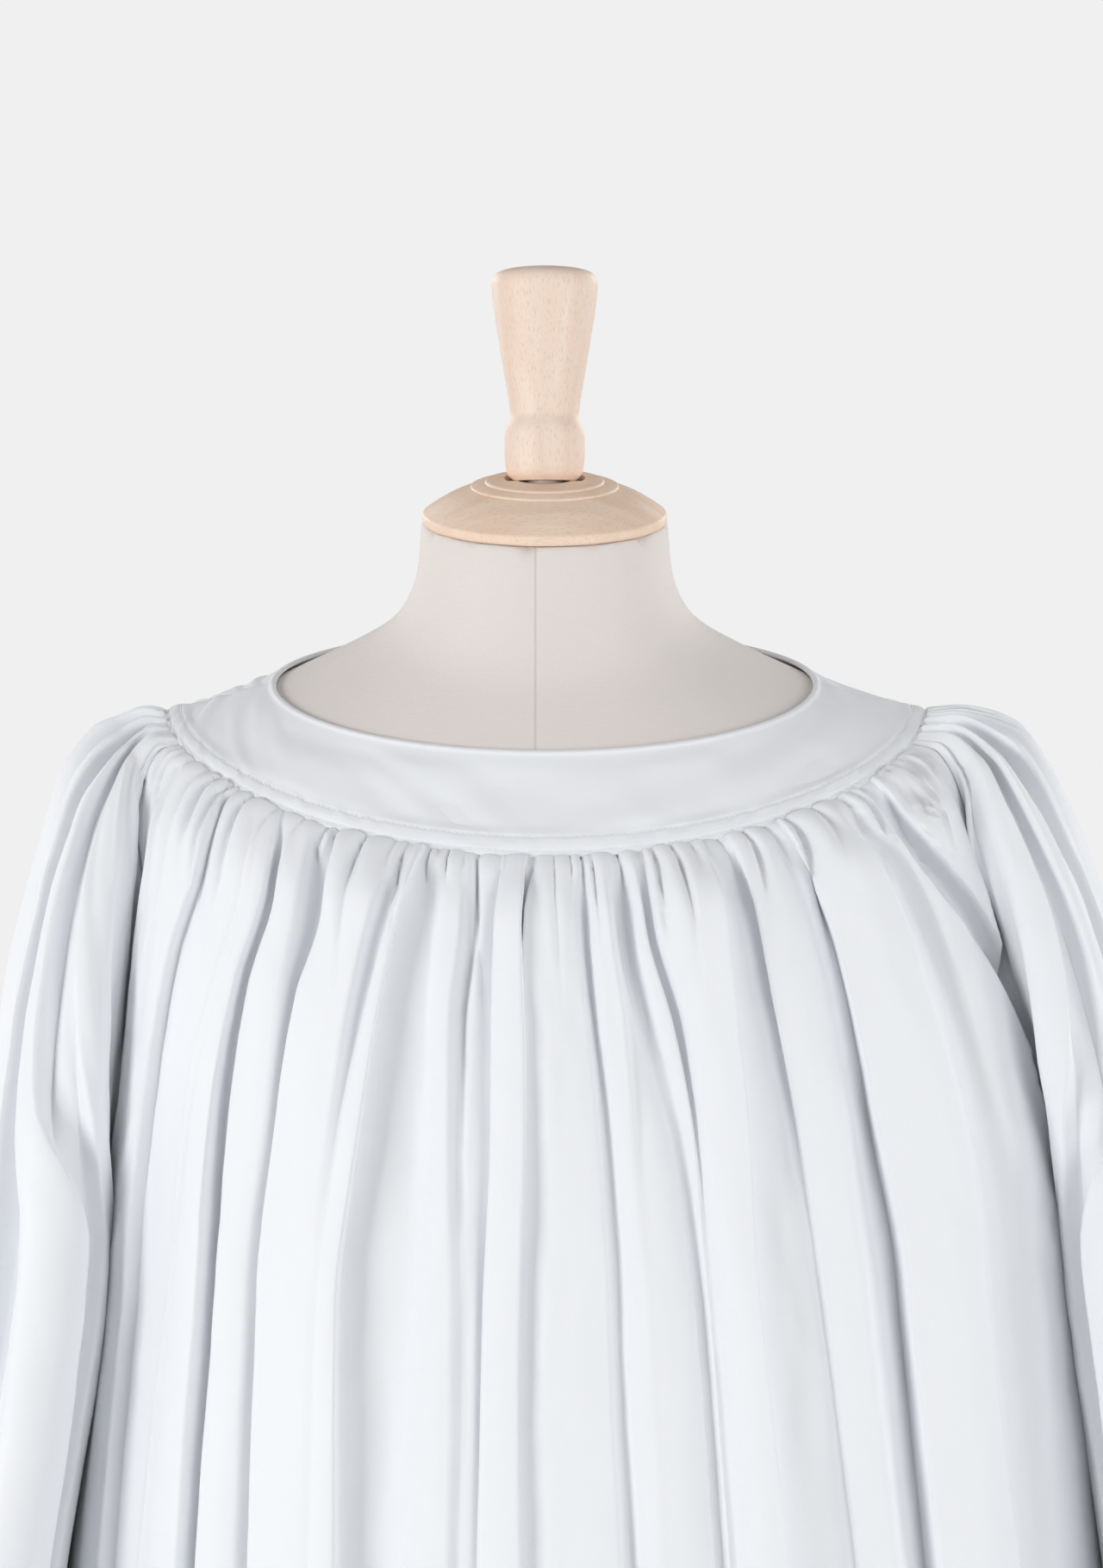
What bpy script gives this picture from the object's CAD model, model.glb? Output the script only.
"""The looks of a white gathered surplice on a limbless linen dress form with a turned beech cap and handle.

The front is -Y, the wearer's left is +X and up is +Z. Blender works in metres. The tables are in
millimetres and degrees, and their heights are measured from DATUM_Z. The cloth is laid out in rows by
its drop, which is how far down the cloth a row lies from the yoke's edge, and across in shares of a
panel's width, from 0 at its first seam to 1 at its second.
"""

import math

import bmesh
import bpy
import numpy as np
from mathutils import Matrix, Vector


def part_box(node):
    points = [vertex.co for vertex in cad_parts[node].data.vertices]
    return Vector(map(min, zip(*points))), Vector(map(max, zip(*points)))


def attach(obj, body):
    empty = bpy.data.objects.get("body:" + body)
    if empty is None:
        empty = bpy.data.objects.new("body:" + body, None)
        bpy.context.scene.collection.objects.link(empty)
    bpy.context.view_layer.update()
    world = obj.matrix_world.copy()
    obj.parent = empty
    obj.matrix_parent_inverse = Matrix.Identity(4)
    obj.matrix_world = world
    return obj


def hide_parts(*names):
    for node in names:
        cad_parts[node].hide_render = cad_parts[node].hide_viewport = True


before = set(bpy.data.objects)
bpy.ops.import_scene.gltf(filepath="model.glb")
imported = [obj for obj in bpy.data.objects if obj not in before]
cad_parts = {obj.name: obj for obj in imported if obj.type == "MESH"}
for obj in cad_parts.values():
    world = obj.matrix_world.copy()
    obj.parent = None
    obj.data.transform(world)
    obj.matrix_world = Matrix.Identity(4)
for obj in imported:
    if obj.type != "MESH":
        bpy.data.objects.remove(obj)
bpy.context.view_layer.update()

bl_info = {
    "name": "Surplice on a dress form",
    "version": (1, 0, 0),
    "blender": (4, 5, 0),
    "location": "View3D > Sidebar > Surplice",
    "description": "Builds the cloth, dress form, turned wood and studio of a white surplice",
    "category": "Add Mesh",
}

DATUM_Z = 1.390               # a level just below the front neckline
NECK_TILT = math.radians(14)  # the neck and its cap lean forward
FORM_FOOT_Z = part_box("dress_form")[0][2]
SEAT_Z = DATUM_Z + 0.1543     # the level seat in the cap for the handle
WELL_Z = DATUM_Z + 0.1420     # the floor of the round well in the seat
GAP = 0.0003                  # between pieces that touch
EDGE_LIFT = 0.0037            # of the gathered cloth above the form at the yoke's edge
EDGE_GAP = 0.0006             # between the yoke's edge and where the cloth's rows start
YOKE_LIFT = 0.0009            # of the yoke's inner side above the form
YOKE_TOP = 0.0024             # of the yoke's outer side above the form
MERGE = 0.00002               # points closer than this are one
STITCH_STEP = 0.0029          # from one topstitch to the next
STITCH_SHARE = 0.76           # of that step which the thread covers
STITCH_WIDE = 0.00028         # half the thread's width
STITCH_HIGH = 0.00024         # half the thread's height
STITCH_RINGS = (5.655, 5.915)  # rings of the form where the two rows of stitches run
UNDERARM_DROP = 275
HEM_DROP = 964
CUFF_DROP = 720
FLOOR_RADIUS = 6.0
FLOOR_FADE = (0.7, 2.6)       # where the floor starts to fade out, and where it is gone


def table(columns, rows):
    """A table of named columns, as arrays that can be interpolated."""
    return {name: np.array([row[i] for row in rows], float) for i, name in enumerate(columns)}


def tilted(side, depth):
    """The height of a ring's front edge, when the ring is a plane that leans forward like the neck."""
    return side - depth * math.tan(NECK_TILT)


# Rings of the dress form, from the neck's top down to where the cloth hides it
FORM = table(
    ("ring", "right", "left", "front", "back", "z_front", "z_side", "z_back", "dip", "square"),
    (
        (0, 64, 64, 62, 60, tilted(133.5, 62), 133.5, tilted(133.5, -60), 1.0, 2.0),
        (1, 67, 67, 64, 62, 90, 108, 122, 1.0, 2.0),
        (2, 78, 78, 69, 67, 57, 84, 104, 1.0, 2.0),
        (3, 103, 103, 79, 78, 36, 65, 93, 1.0, 2.0),
        (4, 137, 137, 92, 91, 15, 50, 80, 1.0, 2.0),
        (5, 167, 168, 108, 108, -10, 43, 55, 1.12, 2.0),
        (6, 192, 194, 124, 122, -36, 35, 28, 1.25, 2.0),
        (7, 202, 205, 131, 130, -60, 18, -2, 1.3, 2.1),
    ),
)

# The smooth form that the body hangs in, by the cloth's drop. seam is the angle of the armhole seam.
BODY = table(
    ("drop", "right", "left", "front", "back", "z_front", "z_side", "z_back", "dip", "square", "seam"),
    (
        (0, 193, 195, 126, 124, -34, 38, 31, 1.25, 2.0, 72),
        (9, 200, 203, 132, 131, -41, 36, 24, 1.25, 2.0, 72),
        (27, 207, 212, 139, 139, -57, 22, 7, 1.2, 2.1, 71.5),
        (62, 212, 222, 147, 150, -91, -10, -27, 1.2, 2.25, 71),
        (115, 214, 236, 153, 160, -143, -62, -79, 1.2, 2.4, 72),
        (180, 215, 248, 159, 168, -208, -132, -144, 1.1, 2.45, 76),
        (275, 218, 262, 168, 178, -303, -240, -239, 1.0, 2.4, 90),
        (390, 228, 270, 177, 190, -418, -360, -354, 1.0, 2.3, 90),
        (530, 240, 277, 189, 204, -558, -510, -496, 1.0, 2.2, 90),
        (690, 258, 290, 203, 220, -718, -682, -660, 1.0, 2.15, 90),
        (840, 278, 304, 218, 236, -868, -852, -830, 1.0, 2.1, 90),
        (964, 296, 316, 230, 248, -1000, -1000, -1000, 1.0, 2.1, 90),
    ),
)

# The smooth form of the hanging sleeves by the same drop
SLEEVE = table(
    ("drop", "right", "left", "fore", "aft", "z_outer", "clear"),
    (
        (0, 194, 198, 40, 40, 38, 0),
        (9, 201, 210, 43, 42, 36.5, 0),
        (27, 213, 231, 49, 48, 26, 0),
        (62, 233, 248, 66, 68, 2, 0),
        (115, 248, 269, 84, 91, -48, 0),
        (180, 260, 288, 99, 109, -112, 0),
        (275, 274, 308, 112, 124, -205, 0.6),
        (400, 290, 326, 124, 138, -328, 12),
        (560, 311, 346, 139, 155, -486, 26),
        (720, 333, 366, 152, 170, -644, 36),
    ),
)

# The folds of the front panel, each a strip of cloth that starts at an edge and ends at the next row's.
# The first six columns are the edge's distance from the middle, in millimetres as seen from the front,
# at these drops. soft is how wide the slope is there, small for a crisp edge. Then comes how far the
# strip stands out at its start and its end, near the yoke and low down, and at the hem. crown is how
# much it rounds up in its middle. A strip that rises faces the wearer's right. The six places were
# read off the photo by eye and then converted to millimetres by a program; the rest is set by hand.
FOLD_COLUMNS = ("at_0", "at_45", "at_90", "at_150", "at_230", "at_hem", "soft",
                "start", "end", "low_start", "low_end", "hem", "crown")
FRONT_FOLDS = table(
    FOLD_COLUMNS,
    (
        (-400, -400, -400, -400, -400, -400, 2, 3, 0, -1, -3, 6, 0),
        (-179.5, -195.2, -201.0, -205.4, -213.9, -280.5, 6, 2, 9, 3, 10, 22, 1),
        (-157.8, -165.8, -177.1, -186.5, -195.4, -249.5, 2, 1, 8, 2, 5, 8, 1),
        (-141.5, -144.9, -155.9, -169.9, -179.2, -243.3, 5, 7, 9, 5, 6, 16, 1),
        (-137.3, -140.0, -151.1, -165.2, -175.0, -237.5, 4, 9, 8, 6, 9, 22, 1),
        (-130.1, -134.3, -146.2, -156.6, -162.7, -207.9, 2, 0, -1, -5, -6, 2, 0),
        (-127.2, -130.5, -142.4, -151.9, -158.9, -200.9, 4, 5, 6, 3, 2, 20, 2),
        (-112.7, -116.3, -124.3, -131.4, -140.8, -157.9, 5, -4, -7, -5, -7, 0, 0),
        (-102.3, -105.5, -117.9, -126.6, -134.8, -148.5, 3, 5, 13, 5, 17, 26, 2),
        (-67.7, -81.5, -90.7, -98.6, -107.3, -118.0, 4, 7, 4, 17, 17, 26, 0),
        (-62.5, -75.3, -85.3, -95.0, -104.3, -113.1, 4, 12, 14, 17, 19, 26, 1),
        (-58.6, -70.6, -78.8, -86.7, -95.4, -94.9, 2, 3, 0, 6, 2, 4, -1),
        (-51.7, -55.7, -56.3, -57.6, -64.2, -76.6, 7, 1, 6, 3, 8, 18, 1),
        (-38.0, -39.7, -44.1, -44.2, -42.4, -51.2, 4, 0, -4, 5, 4, 6, 0),
        (-31.8, -32.8, -37.5, -37.7, -34.9, -42.7, 4, 3, -2, 5, 0, 10, 0),
        (-20.2, -22.5, -23.8, -24.8, -28.7, -34.2, 2, 7, 12, 7, 13, 24, 1),
        (-8.6, -12.2, -12.0, -12.4, -14.3, 15.2, 2, -5, -4, 1, -2, 2, 0),
        (-4.1, -7.3, -9.0, -10.2, -11.8, 23.8, 2, 7, 2, 5, 8, 22, 2),
        (16.9, 18.7, 23.2, 28.1, 32.7, 69.7, 4, -4, -4, 2, 2, 6, 0),
        (20.9, 23.1, 26.8, 31.4, 36.4, 76.4, 4, 2, 7, 3, 10, 22, 1),
        (28.5, 33.9, 40.5, 43.7, 51.5, 86.5, 4, 2, -4, 9, 3, 16, 2),
        (33.0, 37.3, 47.1, 61.5, 73.9, 111.6, 3, -5, -5, 0, -1, 4, 0),
        (36.5, 42.7, 53.7, 67.9, 78.2, 119.8, 4, 1, 4, 1, 3, 12, 1),
        (43.6, 49.5, 62.3, 72.7, 82.0, 126.4, 3, -4, -4, 2, 3, 6, 0),
        (47.5, 54.9, 67.4, 75.9, 85.7, 134.6, 4, 5, 13, 5, 14, 26, 2),
        (76.6, 85.5, 90.4, 96.1, 101.7, 191.3, 2, 3, -3, 5, 0, 4, 0),
        (89.2, 102.8, 111.4, 123.1, 135.6, 213.5, 3, 6, 2, 4, 6, 18, 1),
        (106.7, 123.1, 134.6, 144.8, 156.6, 231.7, 8, 3, -3, 3, -9, 2, 0),
        (114.6, 133.5, 145.9, 158.8, 174.6, 238.4, 2, 8, 9, 8, 10, 26, 4),
        (139.1, 164.2, 180.2, 195.7, 209.8, 274.5, 7, 1, -2, 6, 7, 14, 0),
        (144.1, 173.2, 191.2, 207.7, 222.8, 283.5, 7, 7, 2, 9, 10, 18, 1),
        (155.8, 179.5, 204.7, 229.9, 251.8, 298.5, 2, -5, -6, -3, -3, 20, 0),
        (162.8, 187.5, 212.8, 234.6, 255.1, 311.6, 2, 8, 3, 5, 1, 14, 1),
    ),
)

# Ridges of the back and the sleeves. top, low and hem are where a ridge lies at the yoke's edge, at a
# drop of 230 and at the hem. width and hem_width are half widths; upper, lower and at_hem are how far
# it stands out; near and far are how wide its two slopes are.
RIDGE_COLUMNS = ("top", "low", "hem", "width", "hem_width", "near", "far", "upper", "lower", "at_hem")
BACK_RIDGES = table(
    RIDGE_COLUMNS,
    (
        (0.055, 0.062, 0.052, 8, 20, 8, 3, 5, 7, 14),
        (0.118, 0.112, 0.112, 11, 29, 2, 8, 11, 13, 24),
        (0.200, 0.196, 0.200, 13, 36, 3, 9, 13, 15, 29),
        (0.268, 0.262, 0.268, 7, 19, 6, 2, 6, 8, 15),
        (0.332, 0.330, 0.330, 13, 33, 5, 2, 14, 16, 28),
        (0.398, 0.396, 0.398, 8, 20, 9, 4, 7, 8, 17),
        (0.462, 0.466, 0.464, 12, 32, 2, 3, 13, 15, 29),
        (0.545, 0.545, 0.545, 14, 37, 9, 2, 9, 12, 23),
        (0.614, 0.610, 0.612, 8, 19, 3, 6, 12, 13, 18),
        (0.676, 0.676, 0.676, 13, 33, 10, 2, 8, 10, 27),
        (0.752, 0.750, 0.750, 10, 27, 2, 7, 13, 14, 20),
        (0.826, 0.824, 0.822, 13, 34, 8, 3, 9, 11, 28),
        (0.886, 0.880, 0.882, 7, 18, 3, 9, 6, 8, 14),
        (0.945, 0.934, 0.942, 10, 26, 7, 3, 6, 8, 20),
    ),
)
SLEEVE_RIDGES = table(
    RIDGE_COLUMNS,
    (
        (0.110, 0.135, 0.130, 8, 22, 6, 2, 7, 8, 10),
        (0.205, 0.235, 0.225, 7, 24, 3, 6, 9, 11, 17),
        (0.315, 0.322, 0.315, 8, 24, 2, 5, 8, 11, 19),
        (0.410, 0.403, 0.400, 7, 24, 4, 2, 10, 12, 20),
        (0.500, 0.482, 0.485, 8, 24, 2, 7, 8, 11, 19),
        (0.595, 0.563, 0.570, 7, 24, 3, 2, 10, 12, 20),
        (0.690, 0.645, 0.655, 8, 24, 6, 2, 8, 11, 19),
        (0.795, 0.735, 0.745, 7, 24, 2, 5, 9, 11, 17),
        (0.905, 0.870, 0.875, 7, 22, 6, 3, 5, 7, 10),
    ),
)

# Small uneven creases of the cloth: their height in metres, their seed's number, how far they slant,
# their width and length, and the drop where they are full
CREASES = (
    (0.0009, 5, 0.0, 13, 90, 60),
    (0.0006, 6, 0.10, 5.5, 40, 30),
    (0.0005, 9, -0.35, 9, 22, 25),
)

# Softboxes of the studio: name, place, size, the setting of their power and their share of it
SOFTBOXES = (
    ("key_softbox", (-2.3, -2.1, 1.46), 1.1, "key", 1.0),
    ("fill_softbox", (1.9, -2.6, 1.35), 1.6, "fill", 1.0),
    ("right_hand_wall", (-2.6, -0.1, 1.40), 1.8, "sides", 1.0),
    ("left_hand_wall", (2.6, -0.4, 1.40), 1.8, "sides", 1.8),
    ("back_softbox_right", (-1.7, 2.4, 2.50), 1.2, "sides", 1.6),
    ("back_softbox_left", (1.7, 2.4, 2.50), 1.2, "sides", 1.6),
    ("top_softbox", (0.1, -0.4, 3.0), 1.2, "sides", 0.1),
)

# Turned profiles, in millimetres: radius, and height above the piece's own foot. Each run is smooth,
# and the runs meet in crisp corners.
CAP_RUNS = (
    ((0, 22), (29.5, 21.8)),
    ((29.5, 21.8), (30.3, 21.2), (30.5, 20.7)),
    ((30.5, 20.7), (36.6, 19.5)),
    ((36.6, 19.5), (37.6, 18.9), (37.8, 18.2)),
    ((37.8, 18.2), (48, 13.9), (56, 9.3), (60.6, 6.1)),
    ((60.6, 6.1), (62.1, 4.9), (62.5, 3.6), (62.5, 1.4), (61.6, 0)),
    ((61.6, 0), (0, 0)),
)
HANDLE_RUNS = (
    ((0, 109.5), (8, 109.4), (14, 108.9), (20, 107.9), (24, 106.4), (26.3, 104.2), (27.2, 100.8),
     (26.7, 94), (25.7, 86), (23, 69), (20.2, 52), (18.2, 40), (17.4, 33)),
    ((17.4, 33), (18.4, 30.4), (19.7, 27.5), (20.4, 23), (20.5, 15), (20.2, 9), (19, 3.6), (15.5, 0)),
    ((15.5, 0), (8.7, 0)),
    ((8.7, 0), (8.7, -12.3)),
    ((8.7, -12.3), (0, -12.3)),
)
FOOT_RUNS = (
    ((0, 28), (30, 28)),
    ((30, 28), (32.5, 26.8), (34, 24)),
    ((34, 24), (90, 22.4), (150, 20), (190, 16)),
    ((190, 16), (200, 14.4), (206, 11.4), (209.4, 7.5), (210, 4.5), (209, 1.2), (207, 0)),
    ((207, 0), (0, 0)),
)


# Shapes of the cloth

def smooth(t):
    """A soft step from 0 at t = 0 to 1 at t = 1."""
    t = np.clip(t, 0.0, 1.0)
    return t * t * (3 - 2 * t)


def curve_through(keys, values, at):
    """A monotone cubic curve through these values, read at one place or at many."""
    keys, values = np.asarray(keys, float), np.asarray(values, float)
    steps = np.diff(keys)
    slopes = np.diff(values) / steps
    inner = slopes[:-1] * slopes[1:]
    mean = np.where(inner > 0, 2 * inner / np.where(inner > 0, slopes[:-1] + slopes[1:], 1), 0)
    tangents = np.concatenate([slopes[:1], mean, slopes[-1:]])
    i = np.clip(np.searchsorted(keys, at, side="right") - 1, 0, len(keys) - 2)
    t = np.clip((at - keys[i]) / steps[i], 0.0, 1.0)
    return (
        values[i] * (2 * t**3 - 3 * t**2 + 1) + tangents[i] * steps[i] * (t**3 - 2 * t**2 + t)
        + values[i + 1] * (3 * t**2 - 2 * t**3) + tangents[i + 1] * steps[i] * (t**3 - t**2)
    )


def interpolate(rings, key, value):
    """Every column of a table where its key column has this value."""
    return {name: float(curve_through(rings[key], column, value)) for name, column in rings.items()}


def ring_points(ring, degrees):
    """Points of a ring of the form or the body, in metres, at these angles from the centre front."""
    angles = np.radians(degrees)
    across, along = np.sin(angles), np.cos(angles)
    power = 2 / ring["square"]
    half = np.where(across > 0, ring["left"], ring["right"])
    depth = np.where(along > 0, ring["front"], ring["back"])
    end = np.where(along > 0, ring["z_front"], ring["z_back"])
    x = half * np.sign(across) * np.abs(across) ** power
    y = -depth * np.sign(along) * np.abs(along) ** power
    z = ring["z_side"] + (end - ring["z_side"]) * np.abs(along) ** ring["dip"]
    return np.stack([x, y, z], axis=1) / 1000 + (0, 0, DATUM_Z)


def form_points(ring, degrees, lift):
    """Points at a height above the dress form's surface, on the ring with this number."""
    def on_form(number, angles):
        return ring_points(interpolate(FORM, "ring", number), angles)
    down = on_form(ring + 0.02, degrees) - on_form(ring - 0.02, degrees)
    across = on_form(ring, degrees + 1) - on_form(ring, degrees - 1)
    outward = np.cross(down, across)
    outward /= np.linalg.norm(outward, axis=1)[:, None]
    return on_form(ring, degrees) + outward * np.reshape(lift, (-1, 1))


def cloth_edge(degrees):
    """Where the gathered cloth starts: just off the yoke's outer edge, a little above the form."""
    edge = form_points(6, degrees, EDGE_LIFT)
    down = form_points(6.02, degrees, EDGE_LIFT) - edge
    return edge + EDGE_GAP * down / np.linalg.norm(down, axis=1)[:, None]


def shares_along(points):
    """How far along a curve each of its points lies, from 0 to 1."""
    along = np.concatenate([[0.0], np.cumsum(np.linalg.norm(np.diff(points, axis=0), axis=1))])
    return along / along[-1]


def length_of(points):
    """The length of a curve through these points."""
    return float(np.linalg.norm(np.diff(points, axis=0), axis=1).sum())


def spread(points, shares):
    """Points on a curve at these shares of its length."""
    along = shares_along(points)
    return np.stack([np.interp(shares, along, points[:, k]) for k in range(3)], axis=1)


def body_row(side, drop):
    """A smooth row across the front or back of the body, from armhole seam to armhole seam."""
    def degrees(ring):
        middle = 0 if side == "body_front" else 180
        return np.linspace(middle - ring["seam"], middle + ring["seam"], 161)
    ring, top = interpolate(BODY, "drop", drop), interpolate(BODY, "drop", 0)
    shift = cloth_edge(degrees(top)) - ring_points(top, degrees(top))
    return ring_points(ring, degrees(ring)) + (1 - smooth(drop / 60)) * shift


def sleeve_lobe(side, drop):
    """A smooth row round a sleeve, from its front seam over the outside to its back seam."""
    row = interpolate(SLEEVE, "drop", drop)
    sign, reach = (1, row["left"]) if side == "sleeve_left" else (-1, row["right"])
    seams = np.stack([body_row("body_front", drop)[-1 if sign > 0 else 0],
                      body_row("body_back", drop)[0 if sign > 0 else -1]])
    seams = (seams - (0, 0, DATUM_Z)) * 1000
    middle, deep = (row["aft"] - row["fore"]) / 2, (row["aft"] + row["fore"]) / 2
    if drop >= UNDERARM_DROP:
        seams[:, 1] = middle * min(1.0, (drop - UNDERARM_DROP) / 100)
    halves = []
    for end, seam in enumerate(seams):
        forward = 1 if end == 0 else -1
        inner = abs(seam[0]) + row["clear"]
        start = math.asin(min(1.0, max(0.0, forward * (middle - seam[1]) / deep)))
        turn = np.linspace(start, math.pi, 81)
        half_width = (reach - inner) / (1 + math.cos(start))
        share = (turn - start) / (math.pi - start)
        x = reach - half_width * (1 + np.cos(turn))
        y = middle - forward * deep * np.sin(turn)
        if start == 0.0:
            y = y + (seam[1] - middle) * np.cos(turn / 2) ** 4
        z = seam[2] + (row["z_outer"] - seam[2]) * 0.5 * (1 - np.cos(share * math.pi))
        halves.append(np.stack([sign * x, y, z], axis=1))
    return np.concatenate([halves[0], halves[1][-2::-1]]) / 1000 + (0, 0, DATUM_Z)


def sleeve_row(side, drop):
    """A row round a sleeve; the first ones follow the yoke's edge from seam to seam."""
    row, start = sleeve_lobe(side, drop), sleeve_lobe(side, 0)
    seam = interpolate(BODY, "drop", 0)["seam"]
    sign = 1 if side == "sleeve_left" else -1
    edge = cloth_edge(sign * np.linspace(seam, 180 - seam, len(start)))
    return row + (1 - smooth(drop / 60)) * (spread(edge, shares_along(start)) - start)


def row_of(panel, drop):
    """The smooth row of a panel at this drop. Above 0 it slips under the yoke."""
    body = panel.startswith("body")
    if drop < 0:
        first, second = row_of(panel, 0), row_of(panel, 2)
        return first + (first - second) * (-drop / 2)
    drop = float(np.clip(drop, 0, HEM_DROP if body else CUFF_DROP))
    return body_row(panel, drop) if body else sleeve_row(panel, drop)


FOLD_DROPS = (0, 45, 90, 150, 230, HEM_DROP)


def seen_across(panel, row):
    """How far a body row's points lie from the middle, growing from its first seam to its second."""
    return row[:, 0] if panel == "body_front" else -row[:, 0]


def fold_shares(panel, folds, drop, row):
    """The shares of a row where a panel's folds start, kept in order."""
    lines = np.stack([folds[name] for name in FOLD_COLUMNS[:6]])
    places = np.array([float(curve_through(FOLD_DROPS, line, max(drop, 0.0))) for line in lines.T])
    if panel.startswith("body"):
        places = np.interp(places / 1000, seen_across(panel, row), shares_along(row))
    places[0] = 0.0
    for k in range(1, len(places)):
        places[k] = max(places[k], places[k - 1] + 0.003)
    for k in range(len(places) - 1, 0, -1):
        places[k] = min(places[k], 0.997 - 0.003 * (len(places) - 1 - k))
    return places


def folds_from_ridges(panel, ridges, base):
    """The fold table of a panel whose folds are given as ridges."""
    body = panel.startswith("body")
    widths = [length_of(row_of(panel, drop)) for drop in (60, HEM_DROP if body else CUFF_DROP)]
    rows = [(-400.0 if body else 0.0,) * 6 + base]
    for k in range(len(ridges["top"])):
        top, low, hem = ridges["top"][k], ridges["low"][k], ridges["hem"][k]
        places = [top + (low - top) * part for part in (0, 0.2, 0.5, 0.8, 1)] + [hem]
        widening = ridges["width"][k] * np.array((0.5, 0.9, 1.1, 1))
        halves = np.interp(FOLD_DROPS, (0, 90, 230, HEM_DROP), widening)
        halves[-1] = ridges["hem_width"][k]
        spans = np.interp(FOLD_DROPS, (0, HEM_DROP), widths) * 1000
        high, lower, at_hem = ridges["upper"][k], ridges["lower"][k], ridges["at_hem"][k]
        deep = -2.0 - 3.0 * abs(math.sin(k * 2.3))
        crisp_start = ridges["near"][k] < ridges["far"][k]
        rise = (0.95, 0.55) if crisp_start else (0.5, 1.0)
        stands = (high * rise[0], high * rise[1], lower * rise[0], lower * rise[1])
        ridge = (ridges["near"][k],) + stands + (at_hem, 2)
        trough = (ridges["far"][k], deep + 2, deep, deep + 2, deep, 3.0, 0)
        for side, levels in ((-1, ridge), (1, trough)):
            edge = [p + side * h / s for p, h, s in zip(places, halves, spans)]
            if body:
                key_rows = [row_of(panel, drop) for drop in FOLD_DROPS]
                edge = [1000 * np.interp(e, shares_along(row), seen_across(panel, row))
                        for e, row in zip(edge, key_rows)]
            rows.append(tuple(edge) + levels)
    return table(FOLD_COLUMNS, rows)


def uneven(seed, count):
    """Random numbers from 0 to 1, the same on each run."""
    return np.random.RandomState(seed).rand(count)


def ripple(seed, across, down, fine, long):
    """Soft uneven waves: a field of random heights from -1 to 1, fine apart across and long apart down."""
    cells = np.random.RandomState(seed).rand(256, 256) * 2 - 1
    u, v = np.asarray(across) / fine, np.asarray(down) / long
    i, j = np.floor(u).astype(int), np.floor(v).astype(int)
    s, t = smooth(u - i), smooth(v - j)

    def cell(a, b):
        return cells[a % 256, b % 256]
    return (
        cell(i, j) * (1 - s) * (1 - t) + cell(i + 1, j) * s * (1 - t)
        + cell(i, j + 1) * (1 - s) * t + cell(i + 1, j + 1) * s * t
    )


def fold_heights(folds, places, shares, drop, width):
    """How far the cloth of a row stands out, and how far its crisp edges lean over, in metres."""
    low, hem = smooth((drop - 60) / 150), smooth((drop - 230) / (HEM_DROP - 230))
    near_yoke = 0.12 + 0.88 * smooth((drop - 1) / 38)

    def level(upper, lower):
        mixed = folds[upper] * (1 - low) + folds[lower] * low
        return (mixed * (1 - hem) + folds["hem"] * hem) * near_yoke
    starts, ends = level("start", "low_start"), level("end", "low_end")
    crowns = folds["crown"] * (1 + hem) * near_yoke
    millimetres = shares * width * 1000
    at = np.append(places * width * 1000, width * 1000)
    height, lean = np.zeros_like(shares), np.zeros_like(shares)
    for k in range(len(places)):
        along = np.clip((millimetres - at[k]) / (at[k + 1] - at[k]), 0, 1)
        strip = starts[k] + (ends[k] - starts[k]) * along + crowns[k] * (1 - (2 * along - 1) ** 2)
        if k == 0:
            height = strip
            continue
        soft = folds["soft"][k] * (1 + 0.4 * low + 1.2 * hem)
        step = smooth((millimetres - at[k]) / soft + 0.5)
        jump = starts[k] - ends[k - 1]
        if folds["soft"][k] <= 3 and abs(jump) > 2:
            falling = 1.0 if jump < 0 else -1.0
            high = 1 - step if falling > 0 else step
            window = np.exp(-((millimetres - at[k]) / (2.2 * soft)) ** 2)
            most, part = (2.4, 0.22) if falling > 0 else (3.4, 0.34)
            lean += falling * (2 * high - 1) * window * min(most, part * abs(jump))
        height = height * (1 - step) + strip * step
    return height / 1000, lean / 1000


def gather_heights(seed, count, shares, drop, longer):
    """The small gathers under the yoke, from -0.6 to 0.4: flat crests with narrow valleys, each of its own
    width, depth and length."""
    edges = np.concatenate([[0.0], np.cumsum(0.35 + 1.3 * uneven(seed, count))])
    edges /= edges[-1]
    edges = edges + 0.010 * smooth(drop / 60) * (np.interp(edges, edges, uneven(seed + 3, count + 1)) - 0.5)
    edges[0], edges[-1] = 0.0, 1.0
    which = np.clip(np.searchsorted(edges, shares, side="right") - 1, 0, count - 1)
    within = np.clip((shares - edges[which]) / (edges[which + 1] - edges[which]), 0, 1)
    within = within ** (0.65 + 0.9 * uneven(seed + 4, count))[which]
    crest = np.clip(np.sin(np.pi * within), 0, 1) ** (0.30 + 0.55 * float(smooth(drop / 28)))
    deep = np.interp(shares, edges, 0.55 + 1.45 * uneven(seed + 1, count + 1) ** 1.6)
    long = longer * np.interp(shares, edges, 18 + 95 * uneven(seed + 2, count + 1) ** 1.8)
    long = long * (1 + 1.2 * np.clip(np.abs(shares - 0.5) * 2 - 0.55, 0, 1))
    return deep * (1 - smooth((drop - 3) / long)) * (crest - 0.6)


def columns_of(panel, folds, count):
    """How many columns each strip between two fold edges gets, shared out by its width."""
    spans = 0.0
    for drop in (30, 230):
        row = row_of(panel, drop)
        places = np.append(fold_shares(panel, folds, drop, row), 1.0)
        spans = spans + np.diff(places) * length_of(row)
    free = count - 5 * len(folds["soft"])
    counts = np.maximum(1, np.floor(spans / spans.sum() * free).astype(int))
    while counts.sum() > free:
        counts[np.argmax(counts)] -= 1
    return counts


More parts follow.
